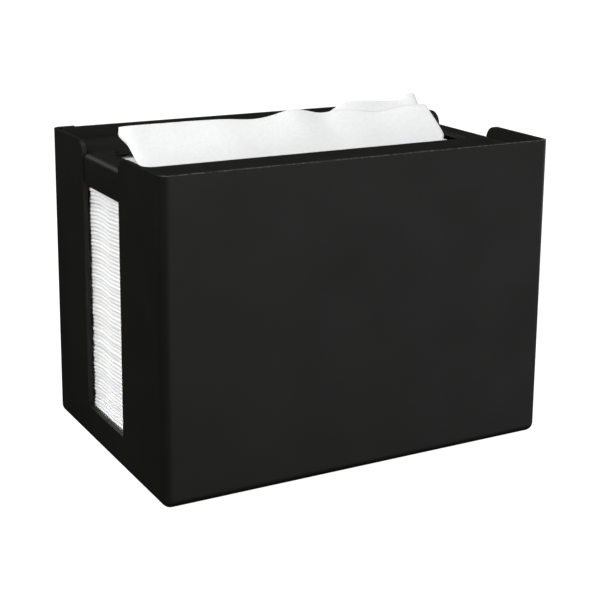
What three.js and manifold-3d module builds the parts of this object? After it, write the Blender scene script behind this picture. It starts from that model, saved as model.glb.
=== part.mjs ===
// Countertop dispenser for interfolded paper napkins.
//
// An open-topped sheet-steel box holds a stack of napkins. A loose follower lid lies on the
// stack and sinks with it, guided by a tab at each end that runs in a slot in the side wall.
// One napkin stands up through the long opening of the lid.
//
// Millimetres. The origin is on the table under the middle of the box:
// X runs to the right along the front, Y to the back and Z up.

import * as THREE from "three";
import { mergeVertices } from "three/addons/utils/BufferGeometryUtils.js";
import Module from "manifold-3d";

const wasm = await Module();
wasm.setup();

// ---- Driving dimensions -------------------------------------------------------------------

const BOX_WIDTH = 178;
const BOX_DEPTH = 121;
const BOX_HEIGHT = 131; // bottom bend to top edge, without the feet
const SHEET = 2; // steel thickness of the shell and the lid
const BEND_RADIUS = 4; // outside radius of the shell's bends
const GAP = 0.3; // between pieces that touch

const FOOT_HEIGHT = 2.5; // what the feet lift the shell off the table
const FOOT_RADIUS = 6.5;
const FOOT_INSET = 17; // from the outer faces to the middle of a foot
const BOTTOM_FLANGE = 26; // width of the shell's inturned bottom edge
const REAR_FLANGE = 10; // width of the shell's inturned rear edges

const SLOT_WIDTH = 40;
const SLOT_Y = 2; // middle of the side slots
const SLOT_SILL = 15.2; // bottom of the slots above the shell's bottom
const NOTCH_RADIUS = 6; // rounded mouth of the slots

const LID_DROP = 5; // top of the lid below the top of the walls
const LID_CLEARANCE = 1; // to the walls, all round
const LID_CORNER = 3;
const LID_BEND = 2.5; // outside radius of the bend to each guide tab
const TAB_CLEARANCE = 0.75; // each side of a tab in its slot
const TAB_BOTTOM_DROP = 18.2; // bottom edge of the tabs below the top of the walls
const OPENING_LENGTH = 156;
const OPENING_CORNER = 5;
const PRESENTED_X = [-74.5, 69]; // ends of the napkin that stands in the opening

const FLOOR_SHEET = 1.5;
const FLOOR_CLEARANCE = 1.5;
const FLOOR_RISE = 3.5; // the raised middle of the floor above its rim
const FLOOR_FIELD = { x: 120, y: 66, corner: 6 };

const NAPKIN = { x: 165, y: 108 }; // a folded interfold napkin
const STACK_LEFT_GAP = 1; // stack to the left wall
const TOP_NAPKIN_THICKNESS = 2;
const BUNDLE_SHARES = [0.31, 0.12, 0.57]; // heights of the three loose bundles, bottom first

const SCREW = { radius: 1.5, head: 2.8, headHeight: 0.9, hole: 1.9, end: 2.6 };
const NUT = { acrossFlats: 5.5, height: 1.8 };

// ---- Worked-out sizes -----------------------------------------------------------------------

const halfWidth = BOX_WIDTH / 2;
const halfDepth = BOX_DEPTH / 2;
const shellBottom = FOOT_HEIGHT;
const shellTop = shellBottom + BOX_HEIGHT;
const innerX = halfWidth - SHEET;
const innerFrontY = -halfDepth + SHEET;

const panelBackY = halfDepth - SHEET - GAP;
const panelFrontY = panelBackY - SHEET;

const floorRimBottom = shellBottom + SHEET + GAP;
const floorRimTop = floorRimBottom + FLOOR_SHEET;
const floorTop = floorRimTop + FLOOR_RISE;

const lidTop = shellTop - LID_DROP;
const lidBottom = lidTop - SHEET;
const slotFrontY = SLOT_Y - SLOT_WIDTH / 2;
const slotBackY = SLOT_Y + SLOT_WIDTH / 2;

const stackBottom = floorTop + GAP;
const stackTop = lidBottom - GAP;
const stackX0 = -innerX + STACK_LEFT_GAP;

// ---- Materials ------------------------------------------------------------------------------

const blackCoat = new THREE.MeshStandardMaterial({ color: 0x1b1b1a, roughness: 0.42, metalness: 0.0 });
const rubber = new THREE.MeshStandardMaterial({ color: 0x101010, roughness: 0.9, metalness: 0.0 });
const zincSteel = new THREE.MeshStandardMaterial({ color: 0xa9abac, roughness: 0.35, metalness: 1.0 });
const paper = new THREE.MeshStandardMaterial({ color: 0xf3f3f1, roughness: 0.95, metalness: 0.0 });

// ---- Solids and shapes ----------------------------------------------------------------------

function toSolid(geometry) {
  const bare = geometry.index ? geometry.toNonIndexed() : geometry.clone();
  bare.deleteAttribute("normal");
  bare.deleteAttribute("uv");
  const merged = mergeVertices(bare, 1e-4);
  return new wasm.Manifold(
    new wasm.Mesh({
      numProp: 3,
      vertProperties: Float32Array.from(merged.attributes.position.array),
      triVerts: Uint32Array.from(merged.index.array),
    }),
  );
}

function toGeometry(solid) {
  const mesh = solid.getMesh();
  const geometry = new THREE.BufferGeometry();
  geometry.setAttribute("position", new THREE.BufferAttribute(Float32Array.from(mesh.vertProperties), 3));
  geometry.setIndex(new THREE.BufferAttribute(Uint32Array.from(mesh.triVerts), 1));
  geometry.computeVertexNormals();
  return geometry;
}

function joined(...solids) {
  return solids.reduce((whole, piece) => whole.add(piece));
}

function cut(solid, ...tools) {
  return tools.reduce((rest, tool) => rest.subtract(tool), solid);
}

function box(x0, x1, y0, y1, z0, z1) {
  const geometry = new THREE.BoxGeometry(x1 - x0, y1 - y0, z1 - z0);
  geometry.translate((x0 + x1) / 2, (y0 + y1) / 2, (z0 + z1) / 2);
  return toSolid(geometry);
}

function roundedRectangle(x0, x1, y0, y1, radius) {
  const shape = new THREE.Shape();
  shape.moveTo(x0 + radius, y0);
  shape.lineTo(x1 - radius, y0);
  shape.absarc(x1 - radius, y0 + radius, radius, -Math.PI / 2, 0);
  shape.lineTo(x1, y1 - radius);
  shape.absarc(x1 - radius, y1 - radius, radius, 0, Math.PI / 2);
  shape.lineTo(x0 + radius, y1);
  shape.absarc(x0 + radius, y1 - radius, radius, Math.PI / 2, Math.PI);
  shape.lineTo(x0, y0 + radius);
  shape.absarc(x0 + radius, y0 + radius, radius, Math.PI, Math.PI * 1.5);
  return shape;
}

// A shape drawn in X and Y, from height z0 to z1.
function extrudeUp(shape, z0, z1, curveSegments = 5) {
  const geometry = new THREE.ExtrudeGeometry(shape, { depth: z1 - z0, bevelEnabled: false, curveSegments });
  geometry.translate(0, 0, z0);
  return toSolid(geometry);
}

// A shape drawn in Y and Z, from x0 to x1.
function extrudeAcross(shape, x0, x1, curveSegments = 6) {
  const geometry = new THREE.ExtrudeGeometry(shape, { depth: x1 - x0, bevelEnabled: false, curveSegments });
  geometry.applyMatrix4(new THREE.Matrix4().set(0, 0, 1, x0, 1, 0, 0, 0, 0, 1, 0, 0, 0, 0, 0, 1));
  return toSolid(geometry);
}

// A rod or disc standing on Z at (x, y).
function rod(x, y, radius, z0, z1, segments = 16) {
  const geometry = new THREE.CylinderGeometry(radius, radius, z1 - z0, segments);
  geometry.rotateX(Math.PI / 2);
  geometry.translate(x, y, (z0 + z1) / 2);
  return toSolid(geometry);
}

// A closed block with round corners in plan and a round bottom edge: rings from the bottom up.
function trayBlock(halfX, halfY, z0, z1, radius) {
  const cornerSteps = 4;
  const edgeSteps = 4;
  const rings = [];
  for (let step = 0; step <= edgeSteps; step += 1) {
    const angle = (step / edgeSteps) * (Math.PI / 2);
    rings.push({ inset: radius * (1 - Math.sin(angle)), z: z0 + radius * (1 - Math.cos(angle)) });
  }
  rings.push({ inset: 0, z: z1 });

  const perRing = 4 * (cornerSteps + 1);
  const points = [];
  for (const ring of rings) {
    for (let corner = 0; corner < 4; corner += 1) {
      const middle = (corner + 0.5) * (Math.PI / 2);
      const centreX = Math.sign(Math.cos(middle)) * (halfX - radius);
      const centreY = Math.sign(Math.sin(middle)) * (halfY - radius);
      const reach = Math.max(radius - ring.inset, radius * 0.02);
      for (let step = 0; step <= cornerSteps; step += 1) {
        const angle = (corner + step / cornerSteps) * (Math.PI / 2);
        points.push(centreX + reach * Math.cos(angle), centreY + reach * Math.sin(angle), ring.z);
      }
    }
  }

  const faces = [];
  for (let ring = 0; ring + 1 < rings.length; ring += 1) {
    for (let step = 0; step < perRing; step += 1) {
      const a = ring * perRing + step;
      const b = ring * perRing + ((step + 1) % perRing);
      faces.push(a, b, b + perRing, a, b + perRing, a + perRing);
    }
  }
  const lastRing = (rings.length - 1) * perRing;
  for (let step = 1; step + 1 < perRing; step += 1) {
    faces.push(0, step + 1, step);
    faces.push(lastRing, lastRing + step, lastRing + step + 1);
  }

  const geometry = new THREE.BufferGeometry();
  geometry.setAttribute("position", new THREE.Float32BufferAttribute(points, 3));
  geometry.setIndex(faces);
  return toSolid(geometry);
}

// Outline of sheet bent down through a right angle: one leg runs flat from flatEnd to the bend,
// the other from the bend down to bottom. The outside faces meet at (corner, top).
function bentSheet(corner, top, flatEnd, bottom, sheet, radius) {
  const inner = radius - sheet;
  const shape = new THREE.Shape();
  shape.moveTo(flatEnd, top);
  shape.lineTo(flatEnd, top - sheet);
  shape.lineTo(corner - sheet - inner, top - sheet);
  if (inner > 0) {
    shape.absarc(corner - radius, top - radius, inner, Math.PI / 2, 0, true);
  }
  shape.lineTo(corner - sheet, bottom);
  shape.lineTo(corner, bottom);
  shape.lineTo(corner, top - radius);
  shape.absarc(corner - radius, top - radius, radius, 0, Math.PI / 2);
  return shape;
}

// ---- The box ----------------------------------------------------------------------------------

const footSpots = [
  { name: "front_left", x: -halfWidth + FOOT_INSET, y: -halfDepth + FOOT_INSET },
  { name: "front_right", x: halfWidth - FOOT_INSET, y: -halfDepth + FOOT_INSET },
  { name: "rear_left", x: -halfWidth + FOOT_INSET, y: halfDepth - FOOT_INSET },
  { name: "rear_right", x: halfWidth - FOOT_INSET, y: halfDepth - FOOT_INSET },
];

function screwHoles() {
  return footSpots.map((spot) => rod(spot.x, spot.y, SCREW.hole, 0, floorTop));
}

// The side slots: open at the top, where their mouth widens in two round corners.
function slotCutter() {
  const sill = shellBottom + SLOT_SILL;
  const above = shellTop + 5;
  const shape = new THREE.Shape();
  shape.moveTo(slotFrontY, sill);
  shape.lineTo(slotBackY, sill);
  shape.lineTo(slotBackY, shellTop - NOTCH_RADIUS);
  shape.absarc(slotBackY + NOTCH_RADIUS, shellTop - NOTCH_RADIUS, NOTCH_RADIUS, Math.PI, Math.PI / 2, true);
  shape.lineTo(slotBackY + NOTCH_RADIUS, above);
  shape.lineTo(slotFrontY - NOTCH_RADIUS, above);
  shape.lineTo(slotFrontY - NOTCH_RADIUS, shellTop);
  shape.absarc(slotFrontY - NOTCH_RADIUS, shellTop - NOTCH_RADIUS, NOTCH_RADIUS, Math.PI / 2, 0, true);
  return extrudeAcross(shape, -BOX_WIDTH, BOX_WIDTH);
}

// Front and both sides from one bent sheet, with inturned bottom and rear edges.
function shellWrap() {
  const outside = trayBlock(halfWidth, halfDepth, shellBottom, shellTop, BEND_RADIUS);
  const inside = trayBlock(
    innerX,
    halfDepth - SHEET,
    shellBottom + SHEET,
    shellTop + 5,
    BEND_RADIUS - SHEET,
  );
  const flangeX = halfWidth - BOTTOM_FLANGE;
  const flangeY = -halfDepth + BOTTOM_FLANGE;
  const bottomWindow = box(-flangeX, flangeX, flangeY, halfDepth + 1, 0, shellBottom + SHEET + 1);
  const rearX = halfWidth - REAR_FLANGE;
  const rearWindow = box(-rearX, rearX, panelFrontY - GAP, halfDepth + 1, 0, shellTop + 1);
  return cut(outside, inside, bottomWindow, rearWindow, slotCutter(), ...screwHoles());
}

// Rear panel: lies inside the wrap's rear edges and turns in under the floor.
function rearPanel() {
  const wideHalf = innerX - FLOOR_CLEARANCE;
  const middleHalf = halfWidth - REAR_FLANGE - 1;
  const tongueHalf = halfWidth - BOTTOM_FLANGE - 0.5;
  const stepTop = shellBottom + BEND_RADIUS + 0.5;
  const wide = box(-wideHalf, wideHalf, panelFrontY, panelBackY, stepTop, shellTop);
  const ears = [-1, 1].map((side) => {
    const ends = [side * (tongueHalf - 1), side * middleHalf];
    return box(Math.min(...ends), Math.max(...ends), panelFrontY, panelBackY, floorRimBottom, stepTop + 1);
  });

  // The bend is drawn upside down and flipped, so that its flat leg lies at the bottom.
  const shape = bentSheet(panelBackY, -shellBottom, panelBackY - BOTTOM_FLANGE, -stepTop - 1, SHEET, BEND_RADIUS);
  const geometry = new THREE.ExtrudeGeometry(shape, {
    depth: 2 * tongueHalf,
    bevelEnabled: false,
    curveSegments: 5,
  });
  geometry.applyMatrix4(
    new THREE.Matrix4().set(0, 0, -1, tongueHalf, 1, 0, 0, 0, 0, -1, 0, 0, 0, 0, 0, 1),
  );
  return joined(wide, ...ears, toSolid(geometry));
}

// Floor: a flat rim on the bottom edges of the shell, with a raised middle that carries the stack.
function floorPan() {
  const rimX = innerX - FLOOR_CLEARANCE;
  const rimFront = innerFrontY + FLOOR_CLEARANCE;
  const rimBack = panelFrontY - FLOOR_CLEARANCE;
  const rim = extrudeUp(roundedRectangle(-rimX, rimX, rimFront, rimBack, 3), floorRimBottom, floorRimTop);
  const { x, y, corner } = FLOOR_FIELD;
  const field = roundedRectangle(-x / 2, x / 2, -y / 2, y / 2, corner);
  const hollow = roundedRectangle(
    -x / 2 + FLOOR_SHEET,
    x / 2 - FLOOR_SHEET,
    -y / 2 + FLOOR_SHEET,
    y / 2 - FLOOR_SHEET,
    corner - FLOOR_SHEET,
  );
  const raised = extrudeUp(field, floorRimBottom, floorTop);
  const under = extrudeUp(hollow, floorRimBottom - 1, floorTop - FLOOR_SHEET);
  return cut(joined(rim, raised), under, ...screwHoles());
}

// ---- Feet and their fasteners -----------------------------------------------------------------

const footTop = FOOT_HEIGHT - GAP;
const recessHeight = 0.2 + SCREW.headHeight + GAP;
const headTop = recessHeight - GAP;
const nutBottom = floorRimTop + GAP;

// A rubber bumper with a recess for the screw head and a small round on its lower rim.
function foot(spot) {
  const edge = 0.6;
  const profile = [
    [SCREW.hole, recessHeight],
    [SCREW.head + 0.5, recessHeight],
    [SCREW.head + 0.5, 0],
    [FOOT_RADIUS - edge, 0],
    [FOOT_RADIUS - edge * 0.3, edge * 0.3],
    [FOOT_RADIUS, edge],
    [FOOT_RADIUS, footTop],
    [SCREW.hole, footTop],
    [SCREW.hole, recessHeight],
  ].map(([r, z]) => new THREE.Vector2(r, z));
  const geometry = new THREE.LatheGeometry(profile, 28);
  geometry.rotateX(Math.PI / 2);
  geometry.translate(spot.x, spot.y, 0);
  return toSolid(geometry);
}

function footScrew(spot) {
  const head = rod(spot.x, spot.y, SCREW.head, headTop - SCREW.headHeight, headTop, 20);
  const shank = rod(spot.x, spot.y, SCREW.radius, headTop - 0.2, floorRimTop + SCREW.end, 12);
  const slot = box(spot.x - 2, spot.x + 2, spot.y - 0.35, spot.y + 0.35, -1, headTop - 0.4);
  return cut(joined(head, shank), slot);
}

function footNut(spot) {
  const hexRadius = NUT.acrossFlats / Math.sqrt(3);
  const body = rod(spot.x, spot.y, hexRadius, nutBottom, nutBottom + NUT.height, 6);
  return cut(body, rod(spot.x, spot.y, SCREW.radius + GAP, nutBottom - 1, nutBottom + NUT.height + 1, 12));
}

// ---- Follower lid -------------------------------------------------------------------------------

// A flat plate with one long opening, and a guide tab bent down at each end.
function followerLid() {
  const plateX = innerX - LID_CLEARANCE;
  const plateFront = innerFrontY + LID_CLEARANCE;
  const plateBack = panelFrontY - LID_CLEARANCE;
  const plate = extrudeUp(
    roundedRectangle(-plateX, plateX, plateFront, plateBack, LID_CORNER),
    lidBottom,
    lidTop,
  );

  const tabWidth = SLOT_WIDTH - 2 * TAB_CLEARANCE;
  const tabFace = halfWidth - 0.5;
  const profile = bentSheet(tabFace, lidTop, plateX - 6, shellTop - TAB_BOTTOM_DROP, SHEET, LID_BEND);
  const geometry = new THREE.ExtrudeGeometry(profile, { depth: tabWidth, bevelEnabled: false, curveSegments: 5 });
  geometry.rotateX(Math.PI / 2);
  geometry.translate(0, SLOT_Y + tabWidth / 2, 0);
  const rightTab = toSolid(geometry);
  const leftTab = rightTab.mirror([1, 0, 0]);

  const half = OPENING_LENGTH / 2;
  const opening = roundedRectangle(-half, half, slotFrontY, slotBackY, OPENING_CORNER);
  return cut(joined(plate, rightTab, leftTab), extrudeUp(opening, lidBottom - 1, lidTop + 1));
}

// ---- Napkins ------------------------------------------------------------------------------------

function napkinBlock(z0, z1) {
  const shape = roundedRectangle(stackX0, stackX0 + NAPKIN.x, -NAPKIN.y / 2, NAPKIN.y / 2, 1.5);
  return extrudeUp(shape, z0, z1, 2);
}

// The napkin that stands ready: it rises from the front of the opening and leans to the back.
function presentedNapkin() {
  const foot = stackTop + GAP;
  const front = slotFrontY + 0.7;
  const ridge = shellTop + 12;
  const shape = new THREE.Shape();
  shape.moveTo(front, foot);
  shape.quadraticCurveTo(front + 1, lidTop + 4, SLOT_Y - 8, shellTop + 6);
  shape.quadraticCurveTo(SLOT_Y - 3, ridge - 2, SLOT_Y + 1, ridge);
  shape.quadraticCurveTo(SLOT_Y + 4, shellTop + 4, SLOT_Y + 1, lidTop + 1);
  shape.quadraticCurveTo(SLOT_Y - 2, foot + 1, SLOT_Y - 5, foot);
  return extrudeAcross(shape, ...PRESENTED_X, 4);
}

// ---- Assembly -----------------------------------------------------------------------------------

const dispenser = new THREE.Group();

function addPiece(name, solid, material) {
  const mesh = new THREE.Mesh(toGeometry(solid), material);
  mesh.name = name;
  dispenser.add(mesh);
}

addPiece("shell_wrap", shellWrap(), blackCoat);
addPiece("rear_panel", rearPanel(), blackCoat);
addPiece("floor_pan", floorPan(), blackCoat);

for (const spot of footSpots) {
  addPiece(`foot_${spot.name}`, foot(spot), rubber);
  addPiece(`foot_screw_${spot.name}`, footScrew(spot), zincSteel);
  addPiece(`foot_nut_${spot.name}`, footNut(spot), zincSteel);
}

const bundlesTop = stackTop - TOP_NAPKIN_THICKNESS - GAP;
let bundleFoot = stackBottom;
BUNDLE_SHARES.forEach((share, index) => {
  const bundleTop = bundleFoot + share * (bundlesTop - stackBottom);
  const name = ["napkin_bundle_bottom", "napkin_bundle_middle", "napkin_bundle_top"][index];
  const last = index === BUNDLE_SHARES.length - 1;
  addPiece(name, napkinBlock(bundleFoot, last ? bundlesTop : bundleTop - GAP), paper);
  bundleFoot = bundleTop;
});

addPiece("top_napkin", napkinBlock(stackTop - TOP_NAPKIN_THICKNESS, stackTop), paper);
addPiece("presented_napkin", presentedNapkin(), paper);
addPiece("follower_lid", followerLid(), blackCoat);

export default dispenser;
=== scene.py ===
# Looks for the napkin dispenser: coated sheet steel, rubber feet, plated screws and paper napkins.
#
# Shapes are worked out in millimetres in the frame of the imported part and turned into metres
# when a mesh is made. Sheet-metal pieces start as a flat pattern, which is cut into triangles,
# folded, given its thickness and rounded along its edges.

import math
import random

import bpy
from mathutils import Matrix, Vector
from mathutils.geometry import delaunay_2d_cdt


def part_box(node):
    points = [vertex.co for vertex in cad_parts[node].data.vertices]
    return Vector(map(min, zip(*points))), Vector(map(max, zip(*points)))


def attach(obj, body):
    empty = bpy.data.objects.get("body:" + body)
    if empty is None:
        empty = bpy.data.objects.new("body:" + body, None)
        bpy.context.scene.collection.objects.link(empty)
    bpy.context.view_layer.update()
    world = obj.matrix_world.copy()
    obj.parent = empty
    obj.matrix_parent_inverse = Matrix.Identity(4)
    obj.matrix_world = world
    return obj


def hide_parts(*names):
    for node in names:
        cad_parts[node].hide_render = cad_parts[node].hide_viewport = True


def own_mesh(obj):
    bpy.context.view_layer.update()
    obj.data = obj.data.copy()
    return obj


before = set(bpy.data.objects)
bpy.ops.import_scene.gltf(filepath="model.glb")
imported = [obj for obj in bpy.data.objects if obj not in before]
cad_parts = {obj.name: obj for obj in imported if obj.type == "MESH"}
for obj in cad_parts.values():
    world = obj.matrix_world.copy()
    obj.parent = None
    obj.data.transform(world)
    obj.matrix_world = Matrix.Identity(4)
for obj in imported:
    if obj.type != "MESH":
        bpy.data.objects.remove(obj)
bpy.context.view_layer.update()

MM = 0.001

# ---- Camera --------------------------------------------------------------------------------------

CAMERA_PLACE = (-280.6, -514.8, 235.6)  # mm
CAMERA_TURN = 28.76  # degrees from the front towards the left side
CAMERA_TILT = 12.80  # degrees down
CAMERA_ROLL = 0.53
LENS = 83.0  # mm
SHIFT_Y = -0.16

# ---- Sizes that the frame's boxes don't give -----------------------------------------------------

SHEET = 2.0
SHELL_BEND = 4.0  # outside radius
EDGE_ROUND = 0.38
REAR_FLANGE = 10.0
BOTTOM_FLANGE = 26.0
SCREW_HOLE = 1.9  # radius

SLOT_WIDTH = 40.0
SLOT_Y = 2.0
SLOT_SILL = 15.2
NOTCH_RADIUS = 6.0  # rounded mouth of the slots

LID_CLEARANCE = 1.0
LID_CORNER = 3.0
LID_BEND = 2.2  # outside radius
TAB_WIDTH = 38.5
OPENING_HALF = 78.0
OPENING_CORNER = 5.0

WELD_RADIUS = 2.6  # shallow dents that the spot welds leave in the rear flanges
WELD_DEPTH = 0.28
WELD_HEIGHTS = (22.0, 68.0, 114.0)

FLOOR_SHEET = 1.5
FLOOR_FIELD = (60.0, 33.0, 6.0)  # half length, half width and corner radius of the raised middle

LAYER_PITCH = 1.66  # one folded napkin in the stack
LAYER_GAP = 0.05
END_ROUND = 0.6  # how far a folded napkin's end bulges

PLY = 0.34  # two-ply tissue
BEND_STEPS = 12  # strips that make up one bend


def mm_box(node):
    """A CAD node's lowest and highest corners at rest, in millimetres."""
    low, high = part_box(node)
    return low / MM, high / MM


shell_low, shell_high = mm_box("shell_wrap")
panel_high = mm_box("rear_panel")[1]
floor_low, floor_high = mm_box("floor_pan")
lid_low, lid_high = mm_box("follower_lid")
top_low, top_high = mm_box("top_napkin")

half_width = shell_high.x
half_depth = shell_high.y
shell_bottom = shell_low.z
shell_top = shell_high.z
inner_x = half_width - SHEET
slot_front = SLOT_Y - SLOT_WIDTH / 2
slot_back = SLOT_Y + SLOT_WIDTH / 2
foot_spots = {
    name: sum(mm_box(f"foot_{name}"), Vector()) / 2
    for name in ("front_left", "front_right", "rear_left", "rear_right")
}


# ---- Mesh tools ----------------------------------------------------------------------------------


def make_object(name, points, faces, smooth=True):
    """A mesh object from points in millimetres."""
    mesh = bpy.data.meshes.new(name)
    mesh.from_pydata([Vector(p) * MM for p in points], [], faces)
    mesh.validate()
    mesh.update()
    mesh.polygons.foreach_set("use_smooth", [smooth] * len(mesh.polygons))
    obj = bpy.data.objects.new(name, mesh)
    bpy.context.scene.collection.objects.link(obj)
    return obj


def apply_modifiers(obj):
    """Turns what the modifiers show into the object's own mesh."""
    bpy.context.view_layer.update()
    shown = obj.evaluated_get(bpy.context.evaluated_depsgraph_get())
    mesh = bpy.data.meshes.new_from_object(shown)
    mesh.name = obj.name
    obj.modifiers.clear()
    obj.data = mesh
    return obj


def merge_points(obj, distance=0.002):
    weld = obj.modifiers.new("weld", "WELD")
    weld.merge_threshold = distance * MM
    return apply_modifiers(obj)


def arc(centre, radius, start, end, steps):
    """Points on an arc, with angles in degrees."""
    angles = [math.radians(start + (end - start) * i / steps) for i in range(steps + 1)]
    return [(centre[0] + radius * math.cos(a), centre[1] + radius * math.sin(a)) for a in angles]


def rounded_rectangle(x0, x1, y0, y1, radius, steps=8):
    return [
        *arc((x1 - radius, y0 + radius), radius, -90, 0, steps),
        *arc((x1 - radius, y1 - radius), radius, 0, 90, steps),
        *arc((x0 + radius, y1 - radius), radius, 90, 180, steps),
        *arc((x0 + radius, y0 + radius), radius, 180, 270, steps),
    ]


def circle(centre, radius, steps=24):
    return arc(centre, radius, 0, 360, steps)[:-1]


def inside(point, loop):
    """True if a point of the plane lies inside a closed loop."""
    x, y = point
    result = False
    for (x0, y0), (x1, y1) in zip(loop, loop[1:] + loop[:1]):
        if (y0 > y) != (y1 > y) and x < (x1 - x0) * (y - y0) / (y1 - y0) + x0:
            result = not result
    return result


def flat_pattern(outline, holes=(), lines=(), rings=()):
    """Triangles of a flat pattern. lines are fold lines and rings closed loops to be kept as edges."""
    points, edges = [], []

    def add(chain, closed):
        first = len(points)
        points.extend(Vector(p) for p in chain)
        edges.extend((first + i, first + i + 1) for i in range(len(chain) - 1))
        if closed:
            edges.append((first + len(chain) - 1, first))

    for loop in (outline, *holes, *rings):
        add(loop, True)
    for line in lines:
        add(line, False)
    flat, _, faces, *_ = delaunay_2d_cdt(points, edges, [], 0, 1e-5)

    kept = []
    for face in faces:
        middle = sum((flat[i] for i in face), Vector((0, 0))) / len(face)
        if inside(middle, outline) and not any(inside(middle, hole) for hole in holes):
            kept.append(tuple(face))
    return flat, kept


def folded(flat, faces, fold):
    """The pattern's triangles with every point moved to where fold puts it. Unused points are
    left out."""
    used = sorted({i for face in faces for i in face})
    place = {old: new for new, old in enumerate(used)}
    return [fold(*flat[i]) for i in used], [tuple(place[i] for i in face) for face in faces]


def thicken(obj, thickness, edge=EDGE_ROUND):
    """Gives a surface its sheet thickness behind its faces, and rounds the edges."""
    solidify = obj.modifiers.new("thickness", "SOLIDIFY")
    solidify.thickness = thickness * MM
    solidify.offset = -1.0
    solidify.use_even_offset = True
    apply_modifiers(obj)
    return round_edges(obj, edge)


def round_edges(obj, edge, angle=50, segments=3):
    bevel = obj.modifiers.new("edges", "BEVEL")
    bevel.width = edge * MM
    bevel.segments = segments
    bevel.limit_method = "ANGLE"
    bevel.angle_limit = math.radians(angle)
    bevel.harden_normals = True
    bevel.miter_outer = "MITER_ARC"
    return apply_modifiers(obj)


def join(name, parts):
    """One list of points and faces from several."""
    points, faces = [], []
    for part_points, part_faces in parts:
        first = len(points)
        points.extend(part_points)
        faces.extend(tuple(first + i for i in face) for face in part_faces)
    return make_object(name, points, faces)


def turned(profile, centre, steps=64):
    """A closed turned body from (radius, height) points that run round its section."""
    points, faces = [], []
    count = len(profile)
    for i in range(steps):
        angle = 2 * math.pi * i / steps
        for radius, height in profile:
            points.append(
                (centre[0] + radius * math.cos(angle), centre[1] + radius * math.sin(angle), height)
            )
        after = (i + 1) % steps
        for j in range(count):
            k = (j + 1) % count
            faces.append((i * count + j, after * count + j, after * count + k, i * count + k))
    return points, faces


def smooth_curve(knots, at):
    """A smooth curve through (position, value) points, read at one position."""
    if at <= knots[0][0]:
        return knots[0][1]
    if at >= knots[-1][0]:
        return knots[-1][1]
    i = max(k for k in range(len(knots) - 1) if knots[k][0] <= at)
    (x0, y0), (x1, y1) = knots[i], knots[i + 1]
    before = knots[max(i - 1, 0)]
    after = knots[min(i + 2, len(knots) - 1)]
    slope0 = (y1 - before[1]) / (x1 - before[0])
    slope1 = (after[1] - y0) / (after[0] - x0)
    t = (at - x0) / (x1 - x0)
    h = x1 - x0
    return (
        (2 * t**3 - 3 * t**2 + 1) * y0
        + (t**3 - 2 * t**2 + t) * h * slope0
        + (3 * t**2 - 2 * t**3) * y1
        + (t**3 - t**2) * h * slope1
    )


def mix(a, b, share):
    return a + (b - a) * share


def ease(x, start, end):
    """0 before start, 1 after end and a smooth step between."""
    t = min(max((x - start) / (end - start), 0.0), 1.0)
    return t * t * (3 - 2 * t)


# ---- Materials -----------------------------------------------------------------------------------


class Nodes:
    """Short ways to build a material's node tree."""

    def __init__(self, name):
        self.material = bpy.data.materials.new(name)
        self.material.use_nodes = True
        self.tree = self.material.node_tree
        self.shader = self.tree.nodes["Principled BSDF"]
        self.place = self.add("ShaderNodeTexCoord").outputs["Object"]

    def add(self, kind, **values):
        node = self.tree.nodes.new(kind)
        for key, value in values.items():
            setattr(node, key, value)
        return node

    def link(self, source, target):
        self.tree.links.new(source, target)

    def stretched(self, scale):
        """Object coordinates with a scale of their own along each axis."""
        mapping = self.add("ShaderNodeMapping")
        mapping.inputs["Scale"].default_value = scale
        self.link(self.place, mapping.inputs["Vector"])
        return mapping.outputs["Vector"]

    def noise(self, scale, detail=2.0, vector=None):
        node = self.add("ShaderNodeTexNoise")
        node.inputs["Scale"].default_value = scale
        node.inputs["Detail"].default_value = detail
        self.link(vector or self.place, node.inputs["Vector"])
        return node.outputs["Fac"]

    def cells(self, scale, vector=None):
        node = self.add("ShaderNodeTexVoronoi")
        node.inputs["Scale"].default_value = scale
        self.link(vector or self.place, node.inputs["Vector"])
        return node.outputs["Distance"]

    def ramp(self, value, low, high, out_low, out_high):
        """value spread from low..high to out_low..out_high."""
        node = self.add("ShaderNodeMapRange")
        for index, number in enumerate((low, high, out_low, out_high), start=1):
            node.inputs[index].default_value = number
        self.link(value, node.inputs[0])
        return node.outputs[0]

    def math(self, operation, a, b):
        node = self.add("ShaderNodeMath", operation=operation)
        for socket, value in zip(node.inputs, (a, b)):
            if isinstance(value, (int, float)):
                socket.default_value = value
            else:
                self.link(value, socket)
        return node.outputs[0]

    def colour(self, value, dark, light):
        """A colour between dark and light, chosen by a value from 0 to 1."""
        node = self.add("ShaderNodeMix", data_type="RGBA")
        node.inputs["A"].default_value = (*dark, 1)
        node.inputs["B"].default_value = (*light, 1)
        self.link(value, node.inputs["Factor"])
        return node.outputs["Result"]

    def bump(self, height, strength, distance, before=None):
        node = self.add("ShaderNodeBump")
        node.inputs["Strength"].default_value = strength
        node.inputs["Distance"].default_value = distance * MM
        self.link(height, node.inputs["Height"])
        if before:
            self.link(before, node.inputs["Normal"])
        return node.outputs["Normal"]


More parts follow.
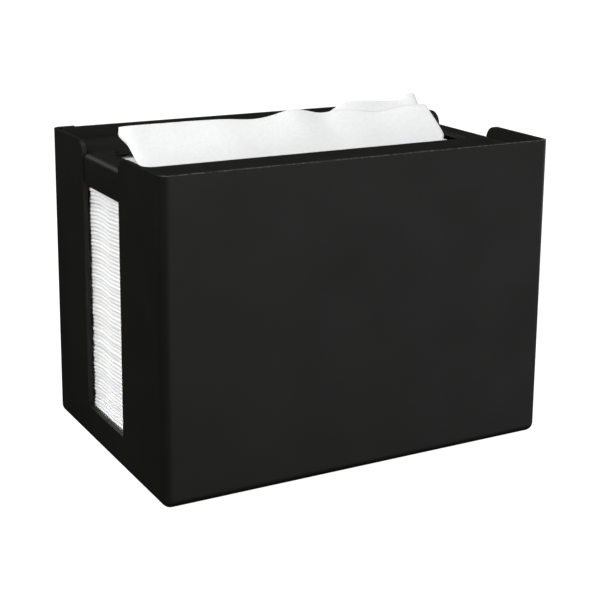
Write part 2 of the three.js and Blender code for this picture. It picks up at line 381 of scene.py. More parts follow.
def powder_coat():
    """Satin black powder coat: a fine orange peel, a little uneven in gloss, paler on sharp edges,
    partly from wear and partly as a painted edge highlight.
    """
    n = Nodes("powder_coat")
    cloud = n.ramp(n.noise(28, 4), 0.3, 0.7, 0, 1)
    speck = n.ramp(n.noise(2600, 1), 0.55, 0.75, 0, 1)
    # Paler on sharp edges: partly edge wear, partly a painted edge highlight.
    edge_wear_and_highlight = n.ramp(n.add("ShaderNodeNewGeometry").outputs["Pointiness"], 0.52, 0.62, 0, 1)
    tone = n.math("ADD", n.math("MULTIPLY", cloud, 0.35), n.math("MULTIPLY", speck, 0.25))
    tone = n.math("ADD", tone, n.math("MULTIPLY", edge_wear_and_highlight, 0.4))
    coat = n.colour(tone, (0.0058, 0.0057, 0.0048), (0.0098, 0.0096, 0.0082))
    n.link(coat, n.shader.inputs["Base Color"])
    n.link(n.ramp(n.noise(45, 3), 0.3, 0.7, 0.48, 0.56), n.shader.inputs["Roughness"])
    n.shader.inputs["Specular IOR Level"].default_value = 0.22
    peel = n.bump(n.noise(900, 2), 0.16, 0.05)
    n.link(n.bump(n.noise(3200, 1), 0.1, 0.02, peel), n.shader.inputs["Normal"])
    return n.material


def rim_wear_and_highlight():
    """The coat along the front wall's upper edge: paler, with bright specks. Partly rubbed wear, partly
    a painted highlight with painted glints for the light the rim catches.
    """
    n = Nodes("rim_wear_and_highlight")
    # The paler tone with bright specks is a painted highlight with painted glints, on top of some
    # rubbed wear.
    speck = n.ramp(n.noise(1150, 1), 0.46, 0.6, 0, 1)
    wear_and_glints = n.colour(speck, (0.012, 0.0118, 0.0105), (0.1, 0.097, 0.088))
    n.link(wear_and_glints, n.shader.inputs["Base Color"])
    n.shader.inputs["Roughness"].default_value = 0.5
    n.shader.inputs["Specular IOR Level"].default_value = 0.3
    n.link(n.bump(n.noise(2200, 2), 0.3, 0.05), n.shader.inputs["Normal"])
    return n.material


def rubber():
    """Matte black moulded rubber with a fine grain."""
    n = Nodes("rubber")
    grain = n.noise(2200, 3)
    n.link(n.colour(grain, (0.009, 0.009, 0.009), (0.02, 0.02, 0.02)), n.shader.inputs["Base Color"])
    n.link(n.ramp(grain, 0.3, 0.7, 0.72, 0.9), n.shader.inputs["Roughness"])
    n.link(n.bump(grain, 0.3, 0.05), n.shader.inputs["Normal"])
    return n.material


def zinc_plate():
    """Bright zinc plating, slightly mottled."""
    n = Nodes("zinc_plate")
    mottle = n.ramp(n.cells(900), 0.0, 0.8, 0, 1)
    n.link(n.colour(mottle, (0.46, 0.47, 0.49), (0.66, 0.67, 0.68)), n.shader.inputs["Base Color"])
    n.link(n.ramp(mottle, 0, 1, 0.26, 0.4), n.shader.inputs["Roughness"])
    n.shader.inputs["Metallic"].default_value = 1.0
    n.link(n.bump(n.noise(1500, 2), 0.15, 0.03), n.shader.inputs["Normal"])
    return n.material


def tissue(name, white, end_grain):
    """White two-ply tissue with embossed dimples and loose fibres. end_grain adds the fine plies that
    show on the ends of a stack."""
    n = Nodes(name)
    fibres = n.noise(700, 4)
    cloud = n.noise(60, 3)
    tone = n.math("ADD", n.math("MULTIPLY", fibres, 0.6), n.math("MULTIPLY", cloud, 0.4))
    n.link(
        n.colour(n.ramp(tone, 0.35, 0.65, 0, 1), (white - 0.05,) * 3, (white,) * 3),
        n.shader.inputs["Base Color"],
    )
    n.shader.inputs["Roughness"].default_value = 0.95
    n.shader.inputs["Specular IOR Level"].default_value = 0.15
    n.shader.inputs["Subsurface Weight"].default_value = 0.25
    n.shader.inputs["Subsurface Radius"].default_value = (0.0011, 0.001, 0.0009)
    n.shader.inputs["Subsurface Scale"].default_value = 1.0
    dimples = n.bump(n.cells(620), 0.22, 0.12)
    surface = n.bump(fibres, 0.2, 0.08, dimples)
    if end_grain:
        plies = n.noise(1.0, 2, n.stretched((60, 60, 4200)))
        surface = n.bump(plies, 0.25, 0.08, surface)
    n.link(surface, n.shader.inputs["Normal"])
    return n.material


COAT = powder_coat()
RIM_WEAR_AND_HIGHLIGHT = rim_wear_and_highlight()
RUBBER = rubber()
ZINC = zinc_plate()
# Two copies of one tissue: the standing napkin's copy is painted greyer than the stack's, a painted
# shade that offsets the stronger light falling on it.
STANDING_TISSUE_PAINTED_SHADE = tissue("tissue", 0.75, False)
TISSUE_STACK = tissue("tissue_stack", 0.84, True)


def finish_piece(obj, material, slot, body, *nodes):
    """Material, body and the CAD nodes that a piece stands for; the slot argument is not used."""
    obj.data.materials.clear()
    obj.data.materials.append(material)
    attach(obj, body)
    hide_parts(*nodes)
    return obj


# ---- Shell: front and both sides from one sheet --------------------------------------------------


def shell_wrap():
    """The wall runs round the box as a strip of the pattern; x is the way along it from the left rear
    edge, and y the height of the unbent wall. Its lower end turns in round the bottom bend."""
    radius = SHELL_BEND
    quarter = math.pi / 2 * radius
    side = 2 * (half_depth - radius)
    front = 2 * (half_width - radius)
    flange = REAR_FLANGE - radius

    # Stations along the strip where each straight run or bend begins.
    left_bend = flange
    left_side = left_bend + quarter
    front_left = left_side + side
    front_run = front_left + quarter
    front_right = front_run + front
    right_side = front_right + quarter
    right_bend = right_side + side
    right_flange = right_bend + quarter
    end = right_flange + flange

    runs = [
        (0, (-half_width + REAR_FLANGE, half_depth), 180),
        (left_side, (-half_width, half_depth - radius), 270),
        (front_run, (-half_width + radius, -half_depth), 0),
        (right_side, (half_width, -half_depth + radius), 90),
        (right_flange, (half_width - radius, half_depth), 180),
    ]
    bends = [
        (left_bend, (-half_width + radius, half_depth - radius), 90, 1),
        (front_left, (-half_width + radius, -half_depth + radius), 180, 1),
        (front_right, (half_width - radius, -half_depth + radius), 270, 1),
        (right_bend, (half_width - radius, half_depth - radius), 0, 1),
    ]

    def outside(along):
        """Place on the outer face in plan, and the direction out of the wall there."""
        for start, centre, angle, way in bends:
            if start <= along <= start + quarter:
                turn = math.radians(angle) + way * (along - start) / radius
                out = Vector((math.cos(turn), math.sin(turn)))
                return Vector(centre) + radius * out, out
        start, place, heading = max(run for run in runs if run[0] <= along + 1e-6)
        turn = math.radians(heading)
        ahead = Vector((math.cos(turn), math.sin(turn)))
        return Vector(place) + ahead * (along - start), Vector((ahead.y, -ahead.x))

    bend_top = shell_bottom + radius
    spots = [
        (station, height)
        for station in (flange * 0.45, end - flange * 0.45)
        for height in WELD_HEIGHTS
    ]

    def fold(along, height):
        place, out = outside(along)
        sink = 0.0
        for spot in spots:
            away = math.dist((along, height), spot) / WELD_RADIUS
            if away < 1:
                sink = WELD_DEPTH * (1 - away * away) ** 2
        if height >= bend_top:
            return (*(place - out * sink), height)
        turn = (bend_top - height) / radius
        inset = radius * (1 - math.cos(turn))
        drop = radius * math.sin(turn)
        return (*(place - out * inset), bend_top - drop)

    low = bend_top - quarter

    def slot_chain(middle):
        """The top edge's dip into a side slot, in the order in which the outline passes it."""
        sill = shell_bottom + SLOT_SILL
        half = SLOT_WIDTH / 2
        mouth = shell_top - NOTCH_RADIUS
        right = arc((middle + half + NOTCH_RADIUS, mouth), NOTCH_RADIUS, 90, 180, 10)
        left = arc((middle - half - NOTCH_RADIUS, mouth), NOTCH_RADIUS, 0, 90, 10)
        return [*right, (middle + half, sill), (middle - half, sill), *left]

    left_slot = left_side + (half_depth - radius - SLOT_Y)
    right_slot = right_side + (half_depth - radius + SLOT_Y)
    outline = [
        (0, low),
        (end, low),
        (end, shell_top),
        *slot_chain(right_slot),
        *slot_chain(left_slot),
        (0, shell_top),
    ]
    lines = []
    for start, *_ in bends:
        for i in range(BEND_STEPS + 1):
            along = start + quarter * i / BEND_STEPS
            lines.append([(along, low), (along, shell_top)])
    for i in range(BEND_STEPS):
        height = mix(bend_top, low, i / BEND_STEPS)
        lines.append([(0, height), (end, height)])
    rings = [
        circle(spot, WELD_RADIUS * share, 20)
        for spot in spots
        for share in (1, 0.7, 0.4, 0.15)
    ]
    wall = folded(*flat_pattern(outline, lines=lines, rings=rings), fold)

    x0, x1 = -half_width + radius, half_width - radius
    y0, y1 = -half_depth + radius, half_depth - radius
    window_x = half_width - BOTTOM_FLANGE
    window_y = -half_depth + BOTTOM_FLANGE
    rear_x = half_width - REAR_FLANGE
    rear_y = panel_high.y - SHEET - 0.3
    bottom = [
        (x0, y0),
        (x1, y0),
        (x1, y1),
        (rear_x, y1),
        (rear_x, rear_y),
        (window_x, rear_y),
        (window_x, window_y),
        (-window_x, window_y),
        (-window_x, rear_y),
        (-rear_x, rear_y),
        (-rear_x, y1),
        (x0, y1),
    ]
    holes = [circle(spot.xy, SCREW_HOLE) for spot in foot_spots.values()]
    flat, faces = flat_pattern(bottom, holes)
    underside = folded(flat, [face[::-1] for face in faces], lambda x, y: (x, y, shell_bottom))

    obj = join("shell_wrap_sheet", [wall, underside])
    merge_points(obj)
    thicken(obj, SHEET)
    finish_piece(obj, COAT, "black_coat", "dispenser", "shell_wrap")
    # The front wall's top rim takes the paler coat with bright specks: partly rubbed wear, partly a
    # painted highlight with painted glints.
    obj.data.materials.append(RIM_WEAR_AND_HIGHLIGHT)
    for face in obj.data.polygons:
        in_front = face.center.y < (SHELL_BEND - half_depth) * MM
        if in_front and face.center.z > (shell_top - 0.6) * MM and face.normal.z > 0.3:
            face.material_index = 1
    return obj


# ---- Rear panel, floor and lid -------------------------------------------------------------------


def rear_panel():
    """A flat panel whose lower tongue turns in under the floor."""
    back = panel_high.y
    wide = panel_high.x
    middle = half_width - REAR_FLANGE - 1
    tongue = half_width - BOTTOM_FLANGE - 0.5
    step = shell_bottom + SHELL_BEND + 0.5
    ear = floor_low.z
    bend_top = shell_bottom + SHELL_BEND
    quarter = math.pi / 2 * SHELL_BEND
    low = bend_top - quarter - (BOTTOM_FLANGE - SHELL_BEND)

    def fold(x, height):
        if height >= bend_top:
            return (x, back, height)
        turn = (bend_top - height) / SHELL_BEND
        if turn <= math.pi / 2:
            inset = SHELL_BEND * (1 - math.cos(turn))
            return (x, back - inset, bend_top - SHELL_BEND * math.sin(turn))
        return (x, back - SHELL_BEND - (bend_top - quarter - height), shell_bottom)

    half = [
        (tongue, low + 2),
        (tongue, ear),
        (middle, ear),
        (middle, step),
        (wide, step),
        (wide, shell_top),
    ]
    outline = [(-x, y) for x, y in reversed(half)] + [(-tongue + 2, low), (tongue - 2, low)] + half
    lines = [
        [(-tongue, mix(bend_top, bend_top - quarter, i / BEND_STEPS)),
         (tongue, mix(bend_top, bend_top - quarter, i / BEND_STEPS))]
        for i in range(BEND_STEPS + 1)
    ]
    flat, faces = flat_pattern(outline, lines=lines)
    points, faces = folded(flat, [face[::-1] for face in faces], fold)
    obj = make_object("rear_panel_sheet", points, faces)
    thicken(obj, SHEET)
    return finish_piece(obj, COAT, "black_coat", "dispenser", "rear_panel")


def floor_pan():
    """A flat rim with a pressed, raised middle."""
    half_x, half_y = floor_high.x, floor_high.y
    rim = rounded_rectangle(-half_x, half_x, floor_low.y, half_y, 3)
    rim_top = floor_low.z + FLOOR_SHEET
    rise = floor_high.z - rim_top
    length, width, corner = FLOOR_FIELD

    # The press radius runs through rings of the field's outline, from the rim up to the middle.
    press = 1.4
    profile = [(press * (1 - math.sin(a)), rim_top + press * (1 - math.cos(a)))
               for a in (math.radians(15 * i) for i in range(7))]
    profile += [(-press * (1 - math.cos(a)), rim_top + rise - press * (1 - math.sin(a)))
                for a in (math.radians(15 * i) for i in range(7))]
    rings = [
        [(x, y, height) for x, y in rounded_rectangle(
            -length - out, length + out, -width - out, width + out, corner + out)]
        for out, height in profile
    ]
    count = len(rings[0])
    points = [point for ring in rings for point in ring]
    faces = []
    for i in range(len(rings) - 1):
        for j in range(count):
            k = (j + 1) % count
            faces.append((i * count + j, i * count + k, (i + 1) * count + k, (i + 1) * count + j))
    faces.append(tuple((len(rings) - 1) * count + j for j in range(count)))

    holes = [circle(spot.xy, SCREW_HOLE) for spot in foot_spots.values()]
    inner = [(x, y) for x, y, _ in rings[0]]
    flat, rim_faces = flat_pattern(rim, [inner, *holes])
    flange = folded(flat, rim_faces, lambda x, y: (x, y, rim_top))
    obj = join("floor_pan_sheet", [flange, (points, faces)])
    merge_points(obj)
    thicken(obj, FLOOR_SHEET, 0.25)
    return finish_piece(obj, COAT, "black_coat", "dispenser", "floor_pan")


def follower_lid():
    """A plate with a long opening and a guide tab turned down at each end."""
    plate_x = inner_x - LID_CLEARANCE
    front, back = lid_low.y, lid_high.y
    tab_front = SLOT_Y - TAB_WIDTH / 2
    tab_back = SLOT_Y + TAB_WIDTH / 2
    bend_start = lid_high.x - LID_BEND
    quarter = math.pi / 2 * LID_BEND
    reach = bend_start + quarter + (lid_high.z - LID_BEND - lid_low.z)
    tip = 1.5

    def fold(x, y):
        side = math.copysign(1, x)
        out = abs(x) - bend_start
        if out <= 0:
            return (x, y, lid_high.z)
        turn = out / LID_BEND
        if turn <= math.pi / 2:
            return (
                side * (bend_start + LID_BEND * math.sin(turn)),
                y,
                lid_high.z - LID_BEND * (1 - math.cos(turn)),
            )
        return (side * lid_high.x, y, lid_high.z - LID_BEND - (out - quarter))

    def corner(x, y, start):
        return arc((x, y), LID_CORNER, start, start + 90, 8)

    right_tab = [
        (plate_x, tab_front),
        *arc((reach - tip, tab_front + tip), tip, -90, 0, 5),
        *arc((reach - tip, tab_back - tip), tip, 0, 90, 5),
        (plate_x, tab_back),
    ]
    left_tab = [(-x, y) for x, y in reversed(right_tab)]
    outline = [
        *corner(plate_x - LID_CORNER, front + LID_CORNER, -90),
        *right_tab,
        *corner(plate_x - LID_CORNER, back - LID_CORNER, 0),
        *corner(-plate_x + LID_CORNER, back - LID_CORNER, 90),
        *left_tab,
        *corner(-plate_x + LID_CORNER, front + LID_CORNER, 180),
    ]
    opening = rounded_rectangle(-OPENING_HALF, OPENING_HALF, slot_front, slot_back, OPENING_CORNER)
    lines = [
        [(side * (bend_start + quarter * i / BEND_STEPS), tab_front),
         (side * (bend_start + quarter * i / BEND_STEPS), tab_back)]
        for side in (-1, 1)
        for i in range(BEND_STEPS + 1)
    ]
    points, faces = folded(*flat_pattern(outline, [opening], lines), fold)
    obj = make_object("follower_lid_sheet", points, faces)
    thicken(obj, SHEET)
    return finish_piece(obj, COAT, "black_coat", "follower", "follower_lid")


shell_wrap()
rear_panel()
floor_pan()
follower_lid()


# ---- Feet and their fasteners --------------------------------------------------------------------


def foot(name, spot):
    """A turned rubber foot with a recess for the screw head."""
    low, high = mm_box(f"foot_{name}")
    radius = high.x - spot.x
    recess, recess_top, edge = 3.3, 1.4, 0.6
    profile = [
        (SCREW_HOLE, recess_top),
        (recess, recess_top),
        (recess, 0.15),
        (recess + 0.15, 0),
        *[(radius - edge + edge * math.sin(a), edge * (1 - math.cos(a)))
          for a in (math.radians(18 * i) for i in range(6))],
        (radius, high.z - 0.3),
        (radius - 0.3, high.z),
        (SCREW_HOLE, high.z),
    ]
    obj = make_object(f"foot_{name}_rubber", *turned(profile, spot))
    return finish_piece(obj, RUBBER, "foot_rubber", "dispenser", f"foot_{name}")


def softened(node, name, edge, material, slot):
    """A CAD node's shape with its flat faces made whole and its edges rounded."""
    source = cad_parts[node]
    obj = bpy.data.objects.new(name, source.data.copy())
    bpy.context.scene.collection.objects.link(obj)
    merge_points(obj, 0.001)
    flatten = obj.modifiers.new("flatten", "DECIMATE")
    flatten.decimate_type = "DISSOLVE"
    flatten.angle_limit = math.radians(1)
    apply_modifiers(obj)
    obj.data.polygons.foreach_set("use_smooth", [True] * len(obj.data.polygons))
    round_edges(obj, edge, 40, 2)
    return finish_piece(obj, material, slot, "dispenser", node)


for name, spot in foot_spots.items():
    foot(name, spot)
    softened(f"foot_screw_{name}", f"screw_{name}_plated", 0.12, ZINC, "zinc_steel")
    softened(f"foot_nut_{name}", f"nut_{name}_plated", 0.2, ZINC, "zinc_steel")


# ---- Napkin stack --------------------------------------------------------------------------------

stack_floor = mm_box("napkin_bundle_bottom")[0].z
stack_roof = mm_box("napkin_bundle_top")[1].z
LOOSE_GAP_DEPTH = 16.0  # one gap between layers, this far below the top of the bundles, is wider
LOOSE_GAP = 0.3
SAG_FADE = 9.0  # the layers get level this near the floor, and within 1.8 times this of the top
REAR_HUMP = 0.75  # height of the hump in the rear half of the slots' width
FRONT_RISE = 2.2  # how much the layers would rise to the front over a whole slot's width
FRONT_HUMP = 0.2
SAG_LEVEL = 0.9  # taken off everywhere, so that the layers stay level on the whole

TROUGH = 0.72  # share of the top napkin's thickness that is drawn down below the opening

rng = random.Random(7)


def sag(y, height):
    """How far a layer lies off its level height: a hump in the rear half of the slots' width, then
    a rise towards the front with a slight hump of its own."""
    along = min(max((slot_back - y) / SLOT_WIDTH, -0.5), 1.35)
    if along < 0.5:
        shape = along + REAR_HUMP * math.sin(math.pi * min(max(along, -0.2), 0.5) / 0.5)
    else:
        rise = FRONT_RISE * (min(along, 1.0) - 0.5)
        hump = FRONT_HUMP * math.sin(math.pi * min((along - 0.5) / 0.5, 1.2))
        shape = 0.5 + rise + hump
    level = ease(height, stack_floor, stack_floor + SAG_FADE)
    level *= 1 - ease(height, stack_roof - 1.8 * SAG_FADE, stack_roof - 1)
    return (shape - SAG_LEVEL) * level


def stations(y0, y1):
    """Places along y, close together where the slots show the layers."""
    fine = [slot_front - 4 + 1.5 * i for i in range(int((SLOT_WIDTH + 8) / 1.5) + 1)]
    edges = [y0, y0 + 0.25, y0 + 0.7, y0 + 1.5]
    coarse = [mix(y0 + 1.5, fine[0], i / 4) for i in range(1, 4)]
    far = [mix(fine[-1], y1 - 1.5, i / 4) for i in range(1, 4)]
    return edges + coarse + fine + far + [y1 - 1.5, y1 - 0.7, y1 - 0.25, y1]


def layer(x0, x1, ys, under, over, end_round):
    """A closed pillow between two height functions of y, with rounded ends and sides."""
    end_steps = 5
    y0, y1 = ys[0], ys[-1]
    points, faces = [], []
    for y in ys:
        low, high = under(y), over(y)
        middle, half = (low + high) / 2, (high - low) / 2
        side = min(y - y0, y1 - y, 1.0)
        half *= math.sqrt(max(1 - (1 - side) ** 2, 0.09))
        loop = []
        for x, sign in ((x0, -1), (x1, 1)):
            for i in range(end_steps + 1):
                a = math.pi * (0.5 - i / end_steps) * -sign
                reach = end_round * (1 - math.cos(a))
                loop.append((x - sign * reach, y, middle + half * math.sin(a)))
        points.extend(loop)
    count = 2 * (end_steps + 1)
    for i in range(len(ys) - 1):
        for j in range(count):
            k = (j + 1) % count
            faces.append((i * count + j, (i + 1) * count + j, (i + 1) * count + k, i * count + k))
    faces.append(tuple(range(count)))
    faces.append(tuple((len(ys) - 1) * count + j for j in range(count))[::-1])
    return points, faces


def napkin_bundle(node):
    """The folded napkins that one CAD bundle stands for, each its own soft layer."""
    low, high = mm_box(node)
    count = round((high.z - low.z) / LAYER_PITCH)
    weights = [rng.uniform(0.9, 1.1) for _ in range(count)]
    scale = (high.z - low.z) / sum(weights)
    levels = [low.z]
    for weight in weights:
        levels.append(levels[-1] + weight * scale)
    ripple = [(rng.uniform(-0.07, 0.07), rng.uniform(0, 6.3)) for _ in levels]
    gaps = [LAYER_GAP] * len(levels)
    loose = stack_roof - LOOSE_GAP_DEPTH
    nearest = min(range(len(levels)), key=lambda i: abs(levels[i] - loose))
    if abs(levels[nearest] - loose) < LAYER_PITCH:
        gaps[nearest] = LOOSE_GAP

    def face_height(i, y):
        swell, phase = ripple[i] if 0 < i < count else (0, 0)
        return levels[i] + sag(y, levels[i]) + swell * math.sin(y / 7 + phase)

    ys = stations(low.y, high.y)
    parts = []
    for i in range(count):
        left = low.x + rng.uniform(0.0, 0.45)
        right = high.x - rng.uniform(0.0, 0.45)
        front, back = rng.uniform(0, 0.5), rng.uniform(0, 0.5)
        shifted = [mix(low.y + front, high.y - back, (y - low.y) / (high.y - low.y)) for y in ys]
        parts.append(
            layer(
                left,
                right,
                shifted,
                lambda y: face_height(i, y) + gaps[i] / 2,
                lambda y: face_height(i + 1, y) - gaps[i + 1] / 2,
                END_ROUND,
            )
        )
    obj = join(f"{node}_layers", parts)
    finish_piece(obj, TISSUE_STACK, "napkin_paper", "dispenser", node)
    return obj


for node in ("napkin_bundle_bottom", "napkin_bundle_middle", "napkin_bundle_top"):
    bundle = napkin_bundle(node)
    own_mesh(bundle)


def top_napkin():
    """The folded napkin right under the lid: two halves, drawn down in a trough below the opening."""
    low, high = top_low.z, top_high.z
    thickness = high - low

    def sink(y):
        across = ease(y, slot_front - 1, slot_front + 4) * (1 - ease(y, slot_back + 2, slot_back + 9))
        return 1 - TROUGH * across + 0.03 * math.sin(y / 4)

    ys = stations(top_low.y, top_high.y)
    parts = [
        layer(top_low.x, top_high.x, ys, lambda y: low, lambda y: low + 0.5 * thickness * sink(y), 0.3),
        layer(
            top_low.x + 0.5,
            top_high.x - 0.3,
            ys,
            lambda y: low + 0.5 * thickness * sink(y) + 0.08,
            lambda y: low + thickness * (sink(y) - 0.03),
            0.3,
        ),
    ]
    obj = join("top_napkin_leaves", parts)
    return finish_piece(obj, TISSUE_STACK, "napkin_paper", "stack_top", "top_napkin")


top_napkin()


# ---- The standing napkin -------------------------------------------------------------------------

# One sheet doubled over: a front leaf and a rear leaf, with the rounded fold at the left end.
# Both rise from inside the lid's opening and lean to the back.

napkin_low, napkin_high = mm_box("presented_napkin")
napkin_foot = mix(top_low.z, top_high.z, 1 - TROUGH) + 0.35  # just above the trough

FOLD_X = napkin_low.x + 3.5  # where the leaves end and the round fold begins
FOLD_REACH = (5.2, 6.2)  # how far the fold stands out to the left of FOLD_X, at its foot and its top
FOLD_BULGE = (0.84, 2.2, 0.12)  # its rolled upper part, as a wave along the share of the way up

# The leaves' upper edges, from the CAD napkin's right end and top. A wave is (middle, height, width).
FRONT_LEVEL = -4.0  # height of the front leaf's edge away from its waves
FRONT_WAVES = ((-89, -1.0, 10), (-69, 1.9, 8), (-54, -0.9, 6), (-26, -2.0, 10))
REAR_EDGE = (  # (x, height) where the rear leaf's edge turns: low, crest, saddle, tip and end
    (-140, -6.0), (-51, -6.0), (-40, -1.3), (-12, -2.3), (-4, 0.8), (-2, -3.5),
)

# How far each leaf ends before the CAD napkin's right end, at its foot and its top.
FRONT_END = (3.8, 1.3)
REAR_END = (4.0, 2.0)

# A leaf's curve is drawn towards a middle point. Places are (way back from the opening's front edge,
# height above the lid), first for the right part of a leaf and then for its part next to the fold.
FRONT_MIDDLE = ((7.0, 4.1), (15.0, 1.1))
REAR_MIDDLE = ((18.0, 5.5), (16.0, 3.5))
FRONT_FOOT_BACK = 0.45
REAR_FOOT_BACK = (16.0, 8.0)
FRONT_TOP_BACK = 22.0
REAR_TOP_BACK = (26.2, 31.0)

LEAF_ROWS = 16
LEAF_COLUMNS = 90
FOLD_COLUMNS = 14


def bow(start, middle, end, share):
    """A point on a curve from start to end that is drawn towards middle."""
    a, b, c = (1 - share) ** 2, 2 * share * (1 - share), share**2
    return (a * start[0] + b * middle[0] + c * end[0], a * start[1] + b * middle[1] + c * end[1])


def middle_point(places, near_fold):
    """Where a leaf's curve is drawn to, between the place far from the fold and the one next to it."""
    (back, above), (fold_back, fold_above) = places
    return (
        slot_front + mix(back, fold_back, near_fold),
        lid_high.z + mix(above, fold_above, near_fold),
    )


def wave(at, middle, height, width):
    """One smooth crest, or a dip where height is negative, that dies away over its width."""
    return height * math.exp(-(((at - middle) / width) ** 2))


def front_leaf(x, share):
    """(y, z) on the front leaf, share of the way up. Near the fold it lies flatter."""
    near_fold = 1 - ease(x, FOLD_X - 3, FOLD_X + 41)
    waves = sum(wave(x - napkin_high.x, *shape) for shape in FRONT_WAVES)
    foot = (slot_front + FRONT_FOOT_BACK, napkin_foot)
    top_y = slot_front + FRONT_TOP_BACK + 0.8 * math.sin(x / 13)
    top = (top_y, napkin_high.z + FRONT_LEVEL + waves)
    return bow(foot, middle_point(FRONT_MIDDLE, near_fold), top, share)


def rear_leaf(x, share):
    """(y, z) on the rear leaf. Near the fold the two leaves stand further apart."""
    near_fold = 1 - ease(x, FOLD_X - 3, FOLD_X + 36)
    foot = (slot_front + mix(*REAR_FOOT_BACK, near_fold), napkin_foot)
    top_y = slot_front + mix(*REAR_TOP_BACK, near_fold) + 0.6 * math.sin(x / 9 + 1)
    top = (top_y, napkin_high.z + smooth_curve(REAR_EDGE, x - napkin_high.x))
    return bow(foot, middle_point(REAR_MIDDLE, near_fold), top, share)


def standing_napkin():
    """Columns of points go along the front leaf, round the fold and along the rear leaf."""
    columns = []
    for i in range(LEAF_COLUMNS):
        columns.append(("front", mix(1.0, 0.0, i / LEAF_COLUMNS)))
    for i in range(FOLD_COLUMNS):
        columns.append(("fold", i / FOLD_COLUMNS))
    for i in range(LEAF_COLUMNS + 1):
        columns.append(("rear", i / LEAF_COLUMNS))

    def place(part, at, share):
        if part == "front":
            x = mix(FOLD_X, napkin_high.x - mix(*FRONT_END, ease(share, 0.16, 0.3)), at)
            return (x, *front_leaf(x, share))
        if part == "rear":
            x = mix(FOLD_X, napkin_high.x - mix(*REAR_END, share), at)
            return (x, *rear_leaf(x, share))
        y0, z0 = front_leaf(FOLD_X, share)
        y1, z1 = rear_leaf(FOLD_X, share)
        turn = math.pi * at
        y = (y0 + y1) / 2 - (y1 - y0) / 2 * math.cos(turn)
        reach = mix(*FOLD_REACH, share) + wave(share, *FOLD_BULGE)
        return (FOLD_X - reach * math.sin(turn), y, mix(z0, z1, (1 - math.cos(turn)) / 2))

    points, faces = [], []
    for row in range(LEAF_ROWS + 1):
        share = row / LEAF_ROWS
        loose = ease(share, 0.15, 0.8)
        for index, (part, at) in enumerate(columns):
            x, y, z = place(part, at, share)
            crease = 0.22 * math.sin(index / 5.3 + 2.1 * share)
            crease += 0.14 * math.sin(index / 2.1 - 3 * share)
            points.append((x, y + loose * crease, z))
    count = len(columns)
    for row in range(LEAF_ROWS):
        for i in range(count - 1):
            a = row * count + i
            faces.append((a, a + count, a + count + 1, a + 1))
    obj = make_object("standing_napkin_sheet", points, faces)
    smooth = obj.modifiers.new("smooth", "SUBSURF")
    smooth.levels = 1
    smooth.render_levels = 1
    thickness = obj.modifiers.new("thickness", "SOLIDIFY")
    thickness.thickness = PLY * MM
    thickness.offset = 0
    apply_modifiers(obj)
    finish_piece(obj, STANDING_TISSUE_PAINTED_SHADE, "napkin_paper", "standing_napkin", "presented_napkin")
    obj.visible_glossy = False  # keeps its white out of the lid's sheen
    return obj


standing_napkin()


# ---- Stage, light and camera ---------------------------------------------------------------------


def area_light(name, place, aim, size, power):
    """A softbox of size (width, height) in metres at a place that points at aim."""
    light = bpy.data.lights.new(name, "AREA")
    light.shape = "RECTANGLE"
    light.size, light.size_y = size
    light.energy = power
    obj = bpy.data.objects.new(name, light)
    bpy.context.scene.collection.objects.link(obj)
    obj.location = place
    obj.rotation_euler = (Vector(aim) - Vector(place)).to_track_quat("-Z", "Y").to_euler()
    return obj


def stage_floor():
    """A white floor that can't be told from the white surroundings."""
    size = 6000
    corners = [(-size, -size, -0.05), (size, -size, -0.05), (size, size, -0.05), (-size, size, -0.05)]
    obj = make_object("stage_floor", corners, [(0, 1, 2, 3)], smooth=False)
    n = Nodes("pale_floor")
    n.shader.inputs["Base Color"].default_value = (0.2, 0.2, 0.2, 1)
    n.shader.inputs["Roughness"].default_value = 1.0
    n.shader.inputs["Specular IOR Level"].default_value = 0.0
    n.shader.inputs["Emission Color"].default_value = (1, 1, 1, 1)
    n.shader.inputs["Emission Strength"].default_value = 1.0
    obj.data.materials.append(n.material)
    obj.visible_glossy = False
    obj.visible_diffuse = False
    obj.visible_shadow = False


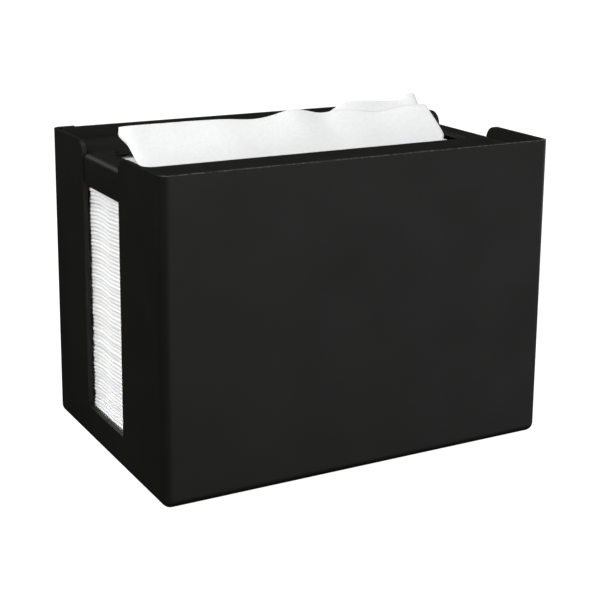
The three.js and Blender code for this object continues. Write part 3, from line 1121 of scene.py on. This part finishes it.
def surroundings():
    """A white background that gives the object no light of its own."""
    world = bpy.data.worlds.new("surroundings")
    world.use_nodes = True
    world.node_tree.nodes["Background"].inputs["Color"].default_value = (1, 1, 1, 1)
    world.cycles_visibility.diffuse = False
    world.cycles_visibility.glossy = False
    bpy.context.scene.world = world


def camera():
    data = bpy.data.cameras.new("camera")
    data.lens = LENS
    data.sensor_width = 36
    data.shift_y = SHIFT_Y
    data.clip_start = 0.01
    data.clip_end = 50
    obj = bpy.data.objects.new("camera", data)
    bpy.context.scene.collection.objects.link(obj)
    turn, tilt = math.radians(CAMERA_TURN), math.radians(CAMERA_TILT)
    ahead = Vector(
        (math.sin(turn) * math.cos(tilt), math.cos(turn) * math.cos(tilt), -math.sin(tilt))
    )
    look = ahead.to_track_quat("-Z", "Y").to_matrix().to_4x4()
    roll = Matrix.Rotation(math.radians(CAMERA_ROLL), 4, "Z")
    obj.matrix_world = Matrix.Translation(Vector(CAMERA_PLACE) * MM) @ look @ roll
    bpy.context.scene.camera = obj


camera()
stage_floor()
surroundings()

box_middle = (0, 0, 0.07)
area_light("front_softbox", (0.25, -1.3, 0.5), box_middle, (1.2, 1.0), 7.4)
area_light("top_softbox", (-0.1, -0.27, 1.6), box_middle, (1.0, 1.0), 15.5)
area_light("right_softbox", (1.45, 0.2, 0.3), box_middle, (1.0, 1.0), 9)
area_light("rear_softbox", (-0.9, 1.2, 1.1), box_middle, (1.0, 1.0), 12)
area_light("low_rear_softbox", (0.9, 1.3, -0.5), box_middle, (1.4, 0.9), 9)

# The left softbox would draw a bright line down the shell's bend, so the gloss doesn't show it.
left_softbox = area_light("left_softbox", (-1.35, -0.6, 0.5), box_middle, (1.0, 1.0), 22.5)
left_softbox.visible_glossy = False

# This one shows in the gloss only, and evens out the sheen on the front wall.
front_sheen = area_light("front_sheen", (0.55, -1.1, -0.2), box_middle, (2.2, 1.0), 6.6)
front_sheen.data.color = (0.945, 0.952, 1.0)
front_sheen.visible_diffuse = False

bpy.context.scene.view_settings.view_transform = "Standard"
